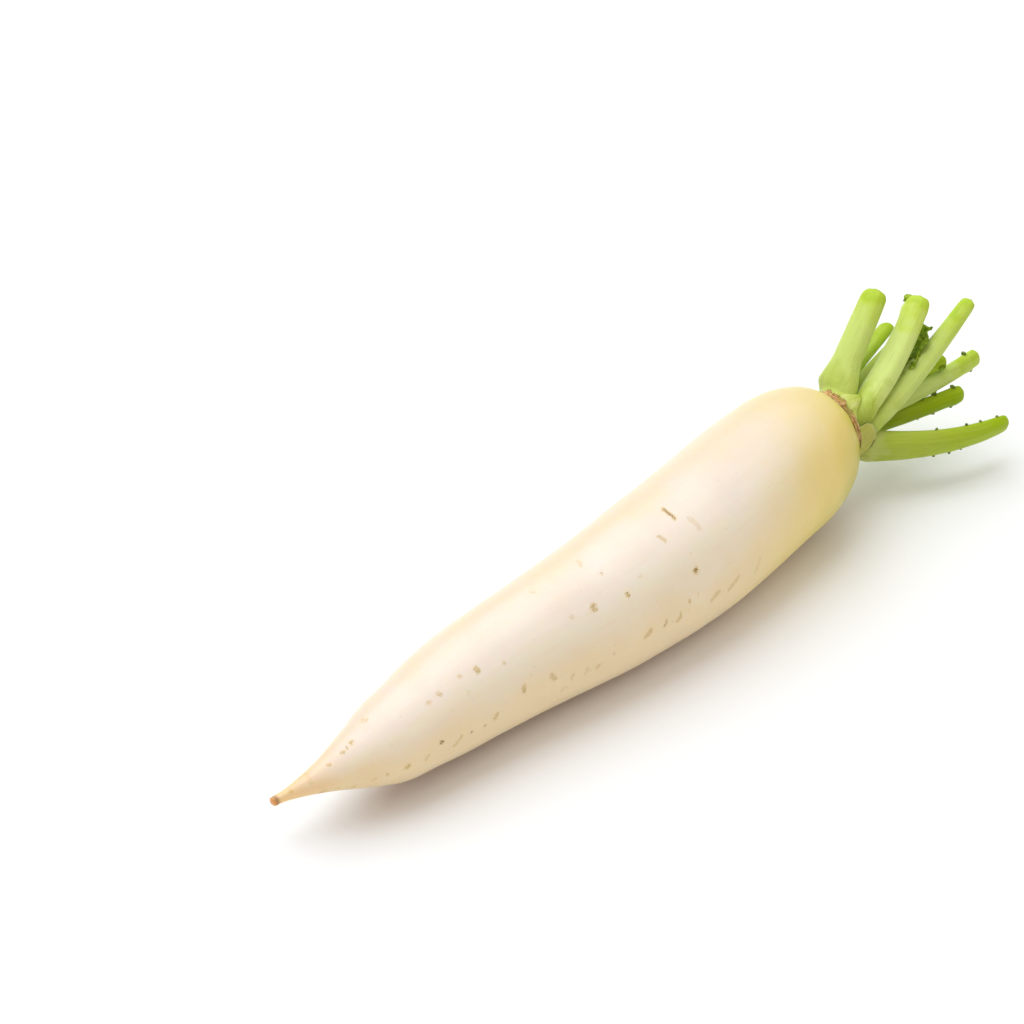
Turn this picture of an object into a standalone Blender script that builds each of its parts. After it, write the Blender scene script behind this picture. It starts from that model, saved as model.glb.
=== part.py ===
"""Daikon radish with its leaf stalks cut short, lying on a flat surface.

Metres, +Z up. +X runs along the root from its tail to its crown. The origin is
the middle of the flat patch of belly that the root rests on.
"""

import math

import bmesh
import bpy
from mathutils import Matrix, Vector

# Root: how far each station is from the tail tip, and the radius there.
ROOT_OUTLINE = (
    (0.000, 0.0023),
    (0.014, 0.0049),
    (0.028, 0.0082),
    (0.042, 0.0139),
    (0.056, 0.0189),
    (0.072, 0.0215),
    (0.090, 0.0241),
    (0.115, 0.0264),
    (0.145, 0.0287),
    (0.180, 0.0316),
    (0.220, 0.0344),
    (0.262, 0.0355),
    (0.298, 0.0352),
    (0.320, 0.0339),
    (0.336, 0.0293),
    (0.345, 0.0228),
)
# The green crown beyond the shoulder carries the leaves.
NECK_AT = 0.349
NECK_RADIUS = 0.0160
CROWN_LENGTH = 0.0085
CROWN_EDGE = 0.0020
CROWN_EDGE_STEPS = 3
ROOT_LENGTH = NECK_AT + CROWN_LENGTH
RINGS_PER_STATION = 3
ROOT_SIDES = 36

# Lie of the root: it rests below its centre of mass, the crown higher than the tail.
REST_AT = 0.219
AXIS_RISE = 0.045
BELLY_DEPTH = 0.0331
# Its axis wanders sideways: how far each station is from the tail tip, and its offset to +Y.
AXIS_STATIONS = (
    (0.000, 0.0000),
    (0.050, -0.0071),
    (0.110, -0.0066),
    (0.180, -0.0110),
    (0.240, -0.0103),
    (0.300, -0.0036),
    (ROOT_LENGTH, 0.0000),
)
AXIS_STEPS = 8

# Dry ring of old leaf bases round the neck.
COLLAR_START = 0.3488
COLLAR_END = 0.3532
COLLAR_WALL = 0.0011
COLLAR_GAP = 0.0004
COLLAR_SIDES = 40

# Leaf stalks: foot_angle and toward are read round the root's axis, from +Y towards +Z.
# A stalk stands on the crown at foot_angle and foot_radius, leans away from the axis
# towards `toward`, and its lean grows by `curl` from foot to cut end.
STALK_FOOT_AT = ROOT_LENGTH + 0.0004
STALK_FOOT_RISE = 0.0016
STALK_FIELDS = (
    "foot_angle",
    "foot_radius",
    "toward",
    "lean",
    "curl",
    "length",
    "foot_width",
    "mid_width",
    "end_width",
)
STALKS = {
    "leaf_stalk_top": (66, 0.0120, 77, 45, -2, 0.0582, 0.0150, 0.0160, 0.0142),
    "leaf_stalk_front": (138, 0.0122, 76, 36, 30, 0.0675, 0.0114, 0.0146, 0.0130),
    "leaf_stalk_long": (188, 0.0122, 94, 30, 34, 0.0880, 0.0090, 0.0118, 0.0078),
    "leaf_stalk_side": (233, 0.0122, 191, 26, -39, 0.0870, 0.0106, 0.0150, 0.0098),
    "leaf_stalk_low": (281, 0.0115, 169, 19, -10, 0.0740, 0.0080, 0.0098, 0.0092),
    "leaf_stalk_under": (322, 0.0118, 318, 24, 8, 0.0480, 0.0082, 0.0084, 0.0078),
    "leaf_stalk_back": (14, 0.0118, 58, 18, 0, 0.0600, 0.0078, 0.0096, 0.0094),
    "inner_stalk_back": (45, 0.0048, 77, 25, -19, 0.0614, 0.0056, 0.0085, 0.0090),
    "inner_stalk_middle": (251, 0.0038, 156, 8, -25, 0.0922, 0.0052, 0.0078, 0.0084),
    "inner_stalk_low": (344, 0.0049, 143, 17, 2, 0.0691, 0.0052, 0.0076, 0.0068),
}
STALK_POINTS = 12
STALK_SIDES = 12
STALK_THICKNESS = 0.72
CHANNEL_DEPTH = 0.35
FOOT_LENGTH = 0.22
CUT_ROUNDING = 0.0012

# Young crinkled leaf in the heart of the rosette: a thin petiole, then the blade.
# Its midline passes these stations: along from the crown's top, then radius and angle
# round the axis.
HEART_LEAF_STATIONS = (
    (0.0008, 0.0043, 111),
    (0.0160, 0.0078, 114),
    (0.0314, 0.0133, 118),
    (0.0440, 0.0222, 107),
    (0.0555, 0.0315, 101),
)
HEART_LEAF_STEPS = 6
HEART_LEAF_ROWS = 6
HEART_LEAF_PETIOLE_SHARE = 0.46
HEART_LEAF_PETIOLE_WIDTH = 0.0024
HEART_LEAF_WIDTH = 0.0140
HEART_LEAF_THICKNESS = 0.0008
HEART_LEAF_CRINKLE = 0.0011
HEART_LEAF_WAVES = 14
HEART_LEAF_ROLL = 23
# The blade's outline is part of a sine bow: where on the bow it starts, how much of the bow
# it takes, the least share of the full width, and how fast it opens from the petiole.
BLADE_BOW_START = 0.15
BLADE_BOW_SHARE = 0.75
BLADE_LEAST_WIDTH = 0.35
BLADE_OPENING = 5

# Cut base of an old leaf, outside the foot of the side stalk.
SCALE_ANGLE = 200
SCALE_SPAN = 44
SCALE_LENGTH = 0.0085
SCALE_ROUNDNESS = 1.7
SCALE_RADIUS = 0.0184
SCALE_THICKNESS = 0.0011

MERGE_DISTANCE = 0.00001
SHARP_ANGLE = 40

radish = bpy.data.collections.new("daikon_radish")
guides = bpy.data.collections.new("guides")


def clear_scene():
    for old in list(bpy.data.objects):
        bpy.data.objects.remove(old, do_unlink=True)
    for collection in (radish, guides):
        bpy.context.scene.collection.children.link(collection)


def material(name, colour, roughness):
    made = bpy.data.materials.new(name)
    made.use_nodes = True
    shader = made.node_tree.nodes["Principled BSDF"]
    shader.inputs["Base Color"].default_value = (*colour, 1)
    shader.inputs["Roughness"].default_value = roughness
    return made


def keep(obj, finish):
    obj.data.materials.append(finish)
    radish.objects.link(obj)
    return obj


def smooth_through(stations, steps):
    """Catmull-Rom curve through the stations."""
    padded = [stations[0], *stations, stations[-1]]
    curve = []
    for first, second, third, fourth in zip(padded, padded[1:], padded[2:], padded[3:]):
        for step in range(steps):
            t = step / steps
            point = []
            for a, b, c, d in zip(first, second, third, fourth):
                bend = (2 * a - 5 * b + 4 * c - d) * t * t + (3 * b - a - 3 * c + d) * t**3
                point.append(0.5 * (2 * b + (c - a) * t + bend))
            curve.append(tuple(point))
    curve.append(stations[-1])
    return curve


AXIS_CURVE = smooth_through(AXIS_STATIONS, AXIS_STEPS)


def axis_side(along):
    """How far to +Y the axis lies at this distance from the tail tip."""
    for (start, side), (end, next_side) in zip(AXIS_CURVE, AXIS_CURVE[1:]):
        if along <= end:
            return side + (next_side - side) * (along - start) / (end - start)
    return AXIS_CURVE[-1][1]


def place_on_axis(along):
    """The point of the root's axis that is this far from the tail tip."""
    height = BELLY_DEPTH + AXIS_RISE * (along - REST_AT)
    return Vector((along - REST_AT, axis_side(along) - axis_side(REST_AT), height))


def around_axis(along, radius, angle):
    """A point at this angle round the axis, read from +Y towards +Z."""
    turn = math.radians(angle)
    return place_on_axis(along) + Vector((0, radius * math.cos(turn), radius * math.sin(turn)))


def crown_outline():
    """Neck, then a flat top with a rounded edge."""
    edge = []
    for step in range(CROWN_EDGE_STEPS + 1):
        turn = math.radians(90 * step / CROWN_EDGE_STEPS)
        along = ROOT_LENGTH - CROWN_EDGE * (1 - math.sin(turn))
        edge.append((along, NECK_RADIUS - CROWN_EDGE * (1 - math.cos(turn))))
    return [(NECK_AT, NECK_RADIUS), *edge, (ROOT_LENGTH, 0.0)]


def turned(name, outline, sides, closed):
    """Mesh turned about the X axis from (along, radius) points."""
    profile = bpy.data.meshes.new(name + "_profile")
    points = [(along, 0, radius) for along, radius in outline]
    edges = [(i, i + 1) for i in range(len(points) - 1)]
    if closed:
        edges.append((len(points) - 1, 0))
    profile.from_pydata(points, edges, [])
    lathe = bpy.data.objects.new(name + "_profile", profile)
    guides.objects.link(lathe)
    screw = lathe.modifiers.new("turn", "SCREW")
    screw.axis = "X"
    screw.steps = sides
    screw.render_steps = sides
    screw.use_merge_vertices = True
    screw.merge_threshold = MERGE_DISTANCE
    bpy.context.view_layer.update()
    solid = bpy.data.meshes.new_from_object(lathe.evaluated_get(bpy.context.evaluated_depsgraph_get()))
    bpy.data.objects.remove(lathe)
    return solid


def bent(mesh):
    """Moves each ring of a turned mesh onto the root's bent, sloping axis."""
    for vertex in mesh.vertices:
        centre = place_on_axis(vertex.co.x)
        vertex.co.x = centre.x
        vertex.co.y += centre.y
        vertex.co.z += centre.z
    return mesh


def closed_up(mesh, floor=False):
    """Merges doubles, cuts off what is below the surface and turns the faces out."""
    shape = bmesh.new()
    shape.from_mesh(mesh)
    bmesh.ops.remove_doubles(shape, verts=shape.verts, dist=MERGE_DISTANCE)
    if floor:
        everything = shape.verts[:] + shape.edges[:] + shape.faces[:]
        cut = bmesh.ops.bisect_plane(
            shape, geom=everything, dist=1e-6, plane_co=(0, 0, 0), plane_no=(0, 0, 1), clear_inner=True
        )
        rim = [part for part in cut["geom_cut"] if isinstance(part, bmesh.types.BMEdge)]
        bmesh.ops.contextual_create(shape, geom=rim)
    bmesh.ops.recalc_face_normals(shape, faces=shape.faces)
    shape.to_mesh(mesh)
    shape.free()
    mesh.shade_smooth()
    mesh.set_sharp_from_angle(angle=math.radians(SHARP_ANGLE))
    return mesh


def build_root():
    skin = material("radish_skin", (0.86, 0.78, 0.60), 0.45)
    outline = [(0.0, 0.0), *smooth_through(ROOT_OUTLINE, RINGS_PER_STATION), *crown_outline()]
    mesh = closed_up(bent(turned("root", outline, ROOT_SIDES, closed=False)), floor=True)
    mesh.name = "root"
    return keep(bpy.data.objects.new("root", mesh), skin)


def build_collar():
    dry = material("dry_leaf_base", (0.36, 0.20, 0.08), 0.8)
    inner = NECK_RADIUS + COLLAR_GAP
    outer = inner + COLLAR_WALL
    middle = (COLLAR_START + COLLAR_END) / 2
    outline = [
        (middle, inner),
        (COLLAR_END, inner),
        (COLLAR_END, outer - COLLAR_WALL / 2),
        (middle, outer),
        (COLLAR_START, outer + COLLAR_WALL),
        (COLLAR_START, inner + COLLAR_WALL),
    ]
    mesh = closed_up(bent(turned("crown_collar", outline, COLLAR_SIDES, closed=True)))
    mesh.name = "crown_collar"
    return keep(bpy.data.objects.new("crown_collar", mesh), dry)


def stalk_section():
    """Half-moon section of a stalk, one wide: round outside, hollowed inside."""
    curve = bpy.data.curves.new("stalk_section", "CURVE")
    curve.dimensions = "2D"
    spline = curve.splines.new("POLY")
    spline.points.add(STALK_SIDES - 1)
    spline.use_cyclic_u = True
    for i, point in enumerate(spline.points):
        turn = 2 * math.pi * i / STALK_SIDES
        across = 0.5 * math.cos(turn)
        out = 0.5 * STALK_THICKNESS * math.sin(turn)
        if out < 0:
            out += CHANNEL_DEPTH * STALK_THICKNESS * 0.5 * math.sin(turn) ** 2
        point.co = (across, out, 0, 1)
    section = bpy.data.objects.new("stalk_section", curve)
    section.hide_render = True
    section.display_type = "WIRE"
    guides.objects.link(section)
    return section


def stalk_width(share, foot, middle, end):
    if share < FOOT_LENGTH:
        return foot + (middle - foot) * share / FOOT_LENGTH
    return middle + (end - middle) * (share - FOOT_LENGTH) / (1 - FOOT_LENGTH)


def stalk_path(lean, curl, length):
    """Points (along, out) of a stalk that leans ever more, and their shares of its length."""
    shares = [i / (STALK_POINTS - 1) for i in range(STALK_POINTS)]
    shares.insert(1, STALK_FOOT_RISE / length)
    shares.insert(-1, 1 - CUT_ROUNDING / length)
    path = [(0.0, 0.0), (STALK_FOOT_RISE, 0.0)]
    for before, here in zip(shares[1:], shares[2:]):
        angle = math.radians(lean + curl * ((before + here) / 2 - 0.5))
        step = length * (here - before)
        path.append((path[-1][0] + step * math.cos(angle), path[-1][1] + step * math.sin(angle)))
    return shares, path


def build_stalk(name, section, finish, sizes):
    row = dict(zip(STALK_FIELDS, sizes))
    curve = bpy.data.curves.new(name, "CURVE")
    curve.dimensions = "3D"
    curve.twist_mode = "Z_UP"
    curve.bevel_mode = "OBJECT"
    curve.bevel_object = section
    curve.use_fill_caps = True
    shares, path = stalk_path(row["lean"], row["curl"], row["length"])
    spline = curve.splines.new("POLY")
    spline.points.add(len(path) - 1)
    for share, (along, out), point in zip(shares, path, spline.points):
        width = stalk_width(share, row["foot_width"], row["mid_width"], row["end_width"])
        point.co = (along, 0, out, 1)
        point.radius = width - CUT_ROUNDING if share == 1 else width
    tube = bpy.data.objects.new(name + "_path", curve)
    foot = around_axis(STALK_FOOT_AT, row["foot_radius"], row["foot_angle"])
    turn = Matrix.Rotation(math.radians(row["toward"] - 90), 4, "X")
    tube.matrix_world = Matrix.Translation(foot) @ turn
    guides.objects.link(tube)
    bpy.context.view_layer.update()
    mesh = bpy.data.meshes.new_from_object(tube.evaluated_get(bpy.context.evaluated_depsgraph_get()))
    mesh.transform(tube.matrix_world)
    bpy.data.objects.remove(tube)
    mesh.name = name
    mesh.materials.clear()
    return keep(bpy.data.objects.new(name, closed_up(mesh)), finish)


def build_stalks():
    green = material("leaf_stalk_green", (0.42, 0.58, 0.10), 0.42)
    section = stalk_section()
    for name, sizes in STALKS.items():
        build_stalk(name, section, green, sizes)
    bpy.data.objects.remove(section)


def heart_leaf_width(share):
    """A thin petiole, then a blade that is widest past its middle."""
    if share < HEART_LEAF_PETIOLE_SHARE:
        return HEART_LEAF_PETIOLE_WIDTH
    blade = (share - HEART_LEAF_PETIOLE_SHARE) / (1 - HEART_LEAF_PETIOLE_SHARE)
    bow = math.sin(math.pi * (BLADE_BOW_START + BLADE_BOW_SHARE * blade))
    wide = HEART_LEAF_WIDTH * (BLADE_LEAST_WIDTH + (1 - BLADE_LEAST_WIDTH) * bow)
    opened = min(1.0, BLADE_OPENING * blade)
    return HEART_LEAF_PETIOLE_WIDTH + (wide - HEART_LEAF_PETIOLE_WIDTH) * opened


def build_heart_leaf():
    dark = material("young_leaf_green", (0.03, 0.09, 0.01), 0.6)
    stations = [
        tuple(around_axis(ROOT_LENGTH + along, radius, angle))
        for along, radius, angle in HEART_LEAF_STATIONS
    ]
    midline = [Vector(point) for point in smooth_through(stations, HEART_LEAF_STEPS)]
    last = len(midline) - 1
    shape = bmesh.new()
    bmesh.ops.create_grid(shape, x_segments=last, y_segments=HEART_LEAF_ROWS, size=0.5)
    for vertex in shape.verts:
        place = round((vertex.co.x + 0.5) * last)
        share = place / last
        across = vertex.co.y
        ahead = (midline[min(place + 1, last)] - midline[max(place - 1, 0)]).normalized()
        side = Matrix.Rotation(math.radians(-HEART_LEAF_ROLL), 3, ahead) @ Vector((0, 1, 0))
        side = (side - ahead * side.dot(ahead)).normalized()
        wave = math.sin(HEART_LEAF_WAVES * share) * (1 + 2 * abs(across))
        crinkle = HEART_LEAF_CRINKLE * wave if share > HEART_LEAF_PETIOLE_SHARE else 0
        vertex.co = midline[place] + side * heart_leaf_width(share) * across
        vertex.co += ahead.cross(side) * crinkle
    mesh = bpy.data.meshes.new("heart_leaf")
    shape.to_mesh(mesh)
    shape.free()
    leaf = keep(bpy.data.objects.new("heart_leaf", mesh), dark)
    wall = leaf.modifiers.new("blade", "SOLIDIFY")
    wall.thickness = HEART_LEAF_THICKNESS
    wall.offset = 0
    return leaf


def build_leaf_base_scale():
    """Curved plate outside the side stalk's foot, with a rounded outer edge."""
    olive = material("old_leaf_base", (0.35, 0.36, 0.09), 0.6)
    shape = bmesh.new()
    bmesh.ops.create_grid(shape, x_segments=5, y_segments=8, size=0.5)
    for vertex in shape.verts:
        share = vertex.co.x + 0.5
        round_edge = math.sqrt(1 - (SCALE_ROUNDNESS * vertex.co.y) ** 2)
        along = COLLAR_END + COLLAR_GAP + share * SCALE_LENGTH * round_edge
        angle = SCALE_ANGLE + SCALE_SPAN * vertex.co.y
        vertex.co = around_axis(along, SCALE_RADIUS, angle)
    mesh = bpy.data.meshes.new("leaf_base_scale")
    shape.to_mesh(mesh)
    shape.free()
    scale = keep(bpy.data.objects.new("leaf_base_scale", mesh), olive)
    wall = scale.modifiers.new("wall", "SOLIDIFY")
    wall.thickness = SCALE_THICKNESS
    wall.offset = 0
    return scale


clear_scene()
build_root()
build_collar()
build_stalks()
build_heart_leaf()
build_leaf_base_scale()
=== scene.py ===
"""Daikon radish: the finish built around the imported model. Metres, in the model's frame."""

import math
import random
from functools import partial

import bmesh
import bpy
from mathutils import Matrix, Vector, kdtree, noise


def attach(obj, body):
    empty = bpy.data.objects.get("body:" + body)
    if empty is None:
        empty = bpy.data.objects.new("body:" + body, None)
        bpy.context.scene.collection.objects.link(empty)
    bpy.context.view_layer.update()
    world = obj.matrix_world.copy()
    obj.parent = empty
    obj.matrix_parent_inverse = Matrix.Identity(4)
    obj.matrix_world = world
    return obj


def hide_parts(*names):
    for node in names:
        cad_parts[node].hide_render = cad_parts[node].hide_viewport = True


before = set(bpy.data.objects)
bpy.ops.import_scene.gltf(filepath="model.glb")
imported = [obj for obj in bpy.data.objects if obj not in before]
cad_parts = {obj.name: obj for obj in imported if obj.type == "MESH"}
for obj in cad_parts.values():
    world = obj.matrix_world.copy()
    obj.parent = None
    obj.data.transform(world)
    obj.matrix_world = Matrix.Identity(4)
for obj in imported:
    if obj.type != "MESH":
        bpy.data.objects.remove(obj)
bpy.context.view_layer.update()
MM = 0.001
MERGE_DISTANCE = 0.00001

# ---- the root's sizes
# How far each station is from the tail tip, and the radius there.
ROOT_OUTLINE = (
    (0.000, 0.0015), (0.0010, 0.0020), (0.006, 0.0024), (0.014, 0.0041), (0.022, 0.0063),
    (0.030, 0.0090), (0.042, 0.0138), (0.056, 0.0189), (0.072, 0.0215), (0.090, 0.0241),
    (0.115, 0.0264), (0.145, 0.0287), (0.180, 0.0316), (0.220, 0.0344), (0.262, 0.0355),
    (0.298, 0.0352), (0.320, 0.0339), (0.336, 0.0293), (0.345, 0.0228), (0.3487, 0.0164),
)
CROWN_AT = 0.3575
CROWN_OUTLINE = (
    (0.3487, 0.0164), (0.3500, 0.0157), (0.3535, 0.0155), (0.3570, 0.0145), (0.3590, 0.0120),
    (0.3602, 0.0080), (0.3606, 0.0040), (0.3606, 0.0000),
)
REST_AT = 0.219
AXIS_RISE = 0.045
BELLY_DEPTH = 0.0331
# How far each station is from the tail tip, and how far the axis is off to +Y there.
AXIS_STATIONS = (
    (0.000, 0.0000), (0.050, -0.0071), (0.110, -0.0066), (0.180, -0.0110), (0.240, -0.0103),
    (0.300, -0.0036), (0.3575, 0.0000),
)
ROOT_RING_GAP = 0.0013
ROOT_SIDES = 170
# Rings lie three times as close below the first station and above the second.
CLOSE_RINGS = (0.004, 0.3445)
# The skin's lumps: how high and how wide.
LUMPS = ((0.00045, 0.045), (0.00016, 0.016))
GROWTH_RING_HEIGHT = 0.00007
GROWTH_RING_GAP = 0.0042
# The broken tip is ragged over its last millimetres.
TIP_LENGTH = 0.006
TIP_HEIGHT = 0.00035
TIP_GRAIN = 0.0018
# Shallow folds lie where the shoulder meets the neck.
FOLDS_AT = 0.3465
FOLDS_REACH = 0.006
FOLD_HEIGHT = 0.00022
FOLDS_ROUND = 9

# Tones of a scar, from healed to freshly torn.
TAN = 0.0
OLIVE = 0.33
BROWN = 0.67
TORN = 1.0
# Lateral root scars: along the root and angle round it, half length and half width in
# millimetres, tilt from the root's axis, tone and strength.
SCARS = (
    (218, 101, 4.3, 0.42, -87, TORN, 0.95),
    (224, 119, 3.8, 0.55, 83, TAN, 0.26),
    (206, 114, 2.2, 0.32, 74, OLIVE, 0.62),
    (212, 149, 0.8, 0.75, -61, BROWN, 1.0),
    (169, 90, 2.3, 0.35, -70, TAN, 0.35),
    (172, 110, 0.4, 0.4, 90, BROWN, 0.5),
    (176, 136, 0.5, 0.5, 90, BROWN, 1.0),
    (159, 132, 2.4, 0.7, -79, OLIVE, 0.75),
    (159, 140, 0.4, 0.35, -28, BROWN, 0.5),
    (148, 128, 0.6, 0.5, -64, OLIVE, 0.3),
    (180, 175, 2.3, 0.7, -41, OLIVE, 0.6),
    (190, 175, 1.6, 0.4, -52, BROWN, 0.55),
    (199, 176, 2.8, 0.7, -48, OLIVE, 0.7),
    (204, 171, 2.4, 0.4, -65, OLIVE, 0.7),
    (210, 167, 0.4, 0.35, 90, BROWN, 0.5),
    (220, 178, 3.0, 0.7, -34, TAN, 0.5),
    (232, 178, 4.0, 0.5, -35, TAN, 0.55),
    (249, 178, 3.2, 0.4, -60, TAN, 0.32),
    (161, 176, 0.4, 0.35, 90, BROWN, 0.35),
    (152, 181, 1.2, 0.4, -33, TAN, 0.4),
    (38, 96, 0.5, 0.5, 90, OLIVE, 0.8),
    (33, 101, 0.5, 0.4, 90, OLIVE, 0.7),
    (26, 106, 0.4, 0.4, -51, OLIVE, 0.7),
    (17, 96, 3.4, 0.3, -81, TAN, 0.22),
    (8, 123, 0.4, 0.4, 90, OLIVE, 0.6),
    (20, 213, 1.4, 0.6, -25, TORN, 0.6),
    (26, 200, 0.4, 0.4, 90, TAN, 0.5),
    (32, 208, 0.5, 0.5, 90, OLIVE, 0.5),
    (40, 190, 1.4, 0.5, -25, OLIVE, 0.35),
    (44, 186, 1.2, 0.5, -30, OLIVE, 0.65),
    (53, 180, 1.5, 0.4, -48, OLIVE, 0.75),
    (48, 80, 1.3, 0.5, 79, TAN, 0.4),
    (98, 123, 1.4, 0.6, -69, OLIVE, 0.75),
    (110, 132, 0.4, 0.4, -42, OLIVE, 0.6),
    (90, 118, 0.8, 0.4, 23, TAN, 0.45),
    (78, 120, 1.0, 0.4, 76, OLIVE, 0.5),
    (72, 121, 1.0, 0.4, 5, TAN, 0.45),
    (129, 168, 1.7, 0.65, 74, OLIVE, 0.62),
    (114, 164, 1.4, 0.65, -70, OLIVE, 0.68),
    (138, 181, 2.9, 0.4, -70, TAN, 0.4),
    (98, 176, 1.4, 0.5, -58, OLIVE, 0.6),
    (92, 180, 0.4, 0.4, -23, BROWN, 0.5),
    (85, 178, 0.4, 0.4, -22, BROWN, 0.5),
    (78, 180, 3.1, 0.4, -38, OLIVE, 0.5),
    (70, 170, 0.6, 0.6, 90, BROWN, 0.95),
    (62, 180, 1.5, 0.4, -50, OLIVE, 0.4),
    (143, 88, 0.4, 0.4, -45, BROWN, 0.45),
    (89, 137, 0.4, 0.4, 40, TAN, 0.35),
    (134, 187, 2.2, 0.3, -46, TAN, 0.3),
    (146, 180, 2.0, 0.3, -60, TAN, 0.3),
    (186, 129, 0.5, 0.4, 0, TAN, 0.25),
)
# Unit ways across the root: the one that its shaded side faces, and the belly's. The skin
# is painted yellower and darker towards both, as painted shade.
SHADED_SIDE = (0.0, -0.67, -0.74)
BELLY_SIDE = (0.0, 0.0, -1.0)
SCAR_REACH = 2.6  # millimetres of skin round a scar that know where it is
SCAR_MARGIN = 1.6
FAR = 99.0
# Three more rows of side-root scars run along the sides that face away and down: their
# angles, how many scars each has, and the millimetres where they start and how far they run.
FAR_ROWS = (22, 318, 262)
FAR_ROW_SCARS = 19
FAR_ROW_START = 24
FAR_ROW_RUN = 290
FAR_ROW_SPREAD = 13
SCAR_BLUR = 0.3

# ---- the leaf stalks' sizes
# foot_angle and toward are read round the root's axis, from +Y towards +Z. A stalk stands
# on the crown at foot_angle and foot_radius, leans away from the axis towards `toward`, and
# its lean grows by `curl` from foot to cut end. paleness_and_shade runs from 0, deep green,
# to 1, pale: partly the stalk's own paleness, partly painted shade on stalks in shadow.
STALK_FIELDS = (
    "foot_angle", "foot_radius", "toward", "lean", "curl", "length", "foot_width", "mid_width",
    "end_width", "paleness_and_shade",
)
STALKS = {
    "leaf_stalk_top": (54, 0.0123, 78, 46, -2, 0.0580, 0.0276, 0.0160, 0.0142, 0.72),
    "leaf_stalk_front": (142, 0.0110, 76, 36, 28, 0.0706, 0.0150, 0.0158, 0.0132, 1.00),
    "leaf_stalk_long": (184, 0.0118, 95, 31, 24, 0.0880, 0.0124, 0.0134, 0.0080, 0.74),
    "leaf_stalk_side": (236, 0.0134, 189, 26, -39, 0.0870, 0.0212, 0.0164, 0.0098, 0.10),
    "leaf_stalk_low": (281, 0.0115, 169, 19, -10, 0.0740, 0.0098, 0.0098, 0.0092, 0.00),
    "leaf_stalk_under": (322, 0.0118, 318, 24, 8, 0.0480, 0.0098, 0.0084, 0.0078, 0.30),
    "leaf_stalk_back": (14, 0.0118, 58, 17, 0, 0.0632, 0.0096, 0.0100, 0.0100, 0.28),
    "inner_stalk_back": (45, 0.0048, 77, 17, -6, 0.0600, 0.0070, 0.0100, 0.0098, 0.35),
    "inner_stalk_middle": (251, 0.0038, 156, 8, -25, 0.0922, 0.0066, 0.0094, 0.0090, 0.82),
    "inner_stalk_low": (344, 0.0049, 143, 17, 2, 0.0691, 0.0062, 0.0076, 0.0068, 0.10),
}
STALK_FOOT_AT = 0.3579
STALK_SUNK = 0.0072
LEAN_STARTS = -0.0024
LEAN_FULL = 0.0056
FLARE_LENGTH = 0.024
CLASP_LENGTH = 0.013
STALK_SIDES = 40
STALK_STEPS = 44
STALK_THICKNESS = 0.72
CUT_EDGE_ROUND = 0.28  # of the width at the cut end
CHANNEL_DEPTH = 0.35
STALK_LUMPS = 0.00012
CUT_FACE_ROUGH = 0.0004
CUT_FACE_DOME = 0.0007
# Soft swellings where leaflets were cut: share of length, angle round the section, how
# much wider, and how long and how far round they reach.
SWELLINGS = {
    "leaf_stalk_front": ((0.90, 10, 0.16, 0.05, 40), (0.93, 170, 0.10, 0.04, 35)),
    "inner_stalk_middle": ((0.90, 90, 0.10, 0.025, 140),),
    "leaf_stalk_top": ((0.97, 90, 0.04, 0.05, 160),),
    "leaf_stalk_low": ((0.93, 90, 0.08, 0.04, 120),),
}
# Stumps of cut leaflets: share of the stalk's length, angle round its section, size.
STUMPS = {
    "leaf_stalk_side": (
        (0.51, 340, 0.0010), (0.71, 340, 0.0011), (0.81, 340, 0.0009), (0.92, 340, 0.0009),
        (0.52, 160, 0.0011), (0.61, 160, 0.0012), (0.68, 160, 0.0010),
    ),
    "leaf_stalk_low": (
        (0.68, 0, 0.0012), (0.78, 0, 0.0013), (0.92, 2, 0.0013), (0.74, 182, 0.0010),
        (0.90, 182, 0.0011),
    ),
    "inner_stalk_middle": ((0.89, 2, 0.0013), (0.93, 182, 0.0011)),
    "leaf_stalk_under": ((0.60, 20, 0.0011),),
    "leaf_stalk_back": ((0.62, 20, 0.0012),),
}

# ---- small helpers


def linear(code):
    """An sRGB hex colour as linear red, green, blue and alpha."""
    shades = [int(code[i : i + 2], 16) / 255 for i in (1, 3, 5)]
    return (*(c / 12.92 if c <= 0.04045 else ((c + 0.055) / 1.055) ** 2.4 for c in shades), 1.0)


def add_node(tree, kind, sockets=None, stops=None, out=0, **settings):
    """Adds a node with its settings, ramp stops and links.

    `kind` is the node's type without ShaderNode in front. Gives back the output that `out`
    names, or a list of outputs where it is a slice.
    """
    made = tree.nodes.new("ShaderNode" + kind)
    for name, value in settings.items():
        setattr(made, name, value)
    if stops:
        ramp = made.color_ramp
        while len(ramp.elements) < len(stops):
            ramp.elements.new(0.5)
        for element, (place, colour) in zip(ramp.elements, stops):
            element.position = place
            element.color = linear(colour)
    for key, value in (sockets or {}).items():
        if isinstance(value, bpy.types.NodeSocket):
            tree.links.new(value, made.inputs[key])
        else:
            made.inputs[key].default_value = value
    return made.outputs[out] if len(made.outputs) else None


def smooth(share):
    share = min(1.0, max(0.0, share))
    return share * share * (3 - 2 * share)


def smooth_through(stations, steps):
    """Catmull-Rom curve through the stations."""
    padded = [stations[0], *stations, stations[-1]]
    curve = []
    for first, second, third, fourth in zip(padded, padded[1:], padded[2:], padded[3:]):
        for step in range(steps):
            t = step / steps
            point = []
            for a, b, c, d in zip(first, second, third, fourth):
                bend = (2 * a - 5 * b + 4 * c - d) * t * t + (3 * b - a - 3 * c + d) * t**3
                point.append(0.5 * (2 * b + (c - a) * t + bend))
            curve.append(tuple(point))
    curve.append(stations[-1])
    return curve


AXIS_CURVE = smooth_through(AXIS_STATIONS, 12)


def read_curve(curve, along):
    """Second value of the curve at this first value."""
    for (start, low), (end, high) in zip(curve, curve[1:]):
        if along <= end:
            return low + (high - low) * (along - start) / max(end - start, 1e-9)
    return curve[-1][1]


AXIS_SIDE_AT_REST = read_curve(AXIS_CURVE, REST_AT)


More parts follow.
